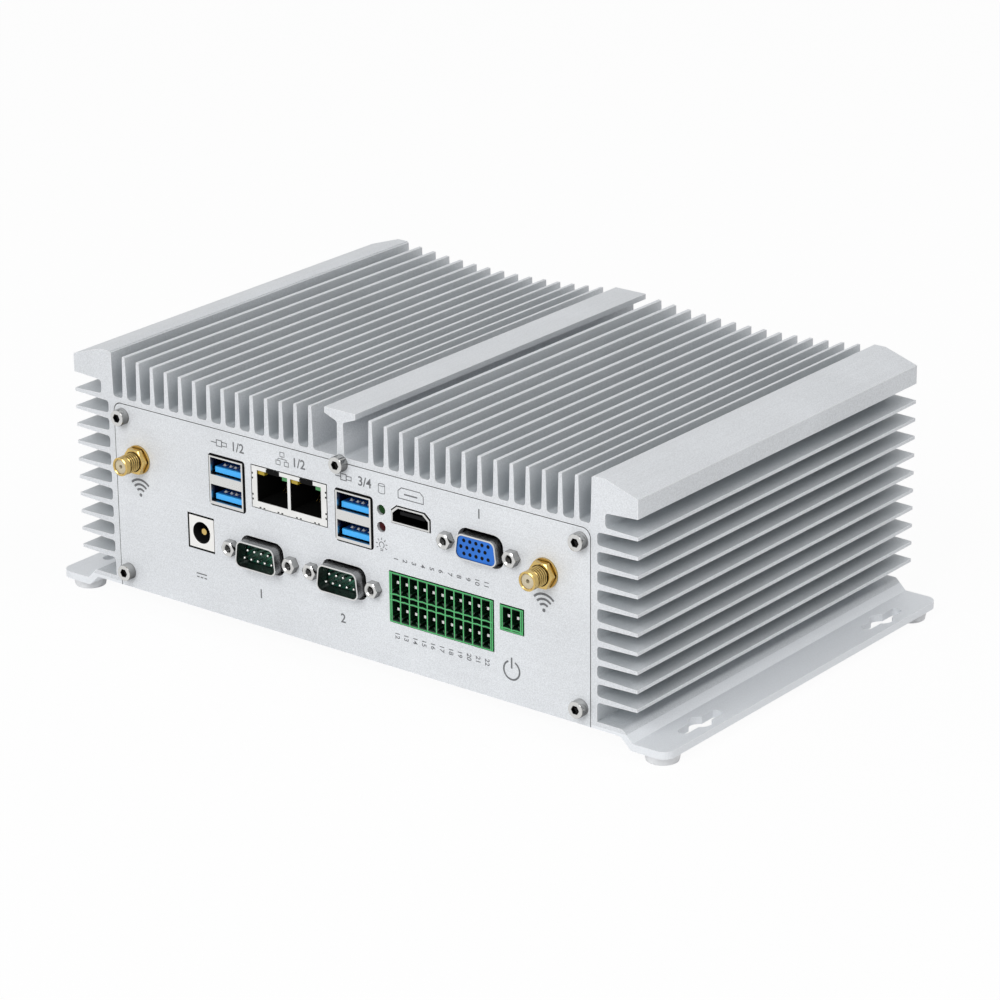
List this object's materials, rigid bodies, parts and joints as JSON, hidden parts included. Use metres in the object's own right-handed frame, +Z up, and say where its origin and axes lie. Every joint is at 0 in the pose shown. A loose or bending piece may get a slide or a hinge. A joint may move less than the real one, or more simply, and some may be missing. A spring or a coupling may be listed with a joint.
{
  "type": "fanless industrial computer",
  "caption": "Fanless embedded computer in a finned silver aluminium housing with slotted side flanges, rubber feet and a front panel of network, serial, video, power and terminal sockets.",
  "frame": {"origin": "middle of the box around the part, on the plane that the feet stand on", "axes": "+X to the right along the front panel, +Y from the front panel to the rear panel, +Z up"},
  "size_m": [0.2456, 0.162, 0.0866],
  "materials": {
    "housing_aluminium": "sand-blasted and clear anodised",
    "panel_aluminium": "sand-blasted and clear anodised sheet",
    "bright_steel": "nickel plated, bright",
    "grey_rubber": "light grey soft rubber",
    "circuit_board": "glass-filled board with green solder mask",
    "brass_parts": "plain turned brass",
    "chip_package": "nickel plated copper lid on a board base",
    "thermal_pad": "soft filled silicone sheet",
    "black_plastic": "black moulded plastic",
    "black_cable": "black jacket of a thin coaxial lead",
    "connector_shell": "tin plated drawn sheet",
    "blue_plastic": "blue moulded plastic",
    "deep_blue_plastic": "deep blue moulded plastic",
    "dark_green_plastic": "dark green moulded plastic",
    "green_plastic": "bright green moulded plastic",
    "amber_lens": "clear amber and green light windows",
    "green_lens": "green light lens",
    "red_lens": "dark red light lens",
    "gold_contact": "gold plated brass",
    "white_plastic": "off-white moulded plastic",
    "grey_ink": "grey screen-printed ink of the panel marks"
  },
  "bodies": {
    "root": {"housing": "housing_aluminium", "front_panel": "panel_aluminium", "rear_panel": "panel_aluminium", "bottom_plate": "panel_aluminium", "front_screws": "bright_steel", "rear_screws": "bright_steel", "plate_screws": "bright_steel", "feet": "grey_rubber", "main_board": "circuit_board", "second_board": "circuit_board", "board_spacers": "brass_parts", "board_pillars": "brass_parts", "pillar_nuts": "bright_steel", "board_screws": "bright_steel", "processor": "chip_package", "thermal_pad": "thermal_pad", "heat_block": "panel_aluminium", "heat_block_screws": "bright_steel", "memory_socket": "black_plastic", "memory_module": "circuit_board", "card_sockets": "black_plastic", "storage_card": "circuit_board", "radio_card": "circuit_board", "card_screws": "brass_parts", "clock_battery": "bright_steel", "battery_holder": "black_plastic", "link_socket": "black_plastic", "link_plug": "black_plastic", "antenna_lead_1": "black_cable", "antenna_lead_2": "black_cable", "data_port_1_shell": "connector_shell", "data_port_2_shell": "connector_shell", "data_port_1_tongues": "blue_plastic", "data_port_2_tongues": "blue_plastic", "network_jack_shield": "connector_shell", "network_jack_insert": "black_plastic", "network_jack_lights": "amber_lens", "video_socket_shell": "connector_shell", "video_socket_tongue": "black_plastic", "analog_video_shell": "connector_shell", "analog_video_insulator": "deep_blue_plastic", "serial_port_1_shell": "connector_shell", "serial_port_2_shell": "connector_shell", "serial_port_1_insulator": "dark_green_plastic", "serial_port_2_insulator": "dark_green_plastic", "serial_pins": "gold_contact", "jackscrews": "bright_steel", "power_inlet": "white_plastic", "power_inlet_pin": "gold_contact", "terminal_block_large": "green_plastic", "terminal_block_small": "green_plastic", "terminal_pins": "bright_steel", "status_light_green": "green_lens", "status_light_red": "red_lens", "light_holder": "black_plastic", "antenna_socket_1": "gold_contact", "antenna_socket_2": "gold_contact", "antenna_insulators": "white_plastic", "antenna_nuts": "gold_contact", "antenna_washers": "gold_contact"}
  },
  "joints": []
}
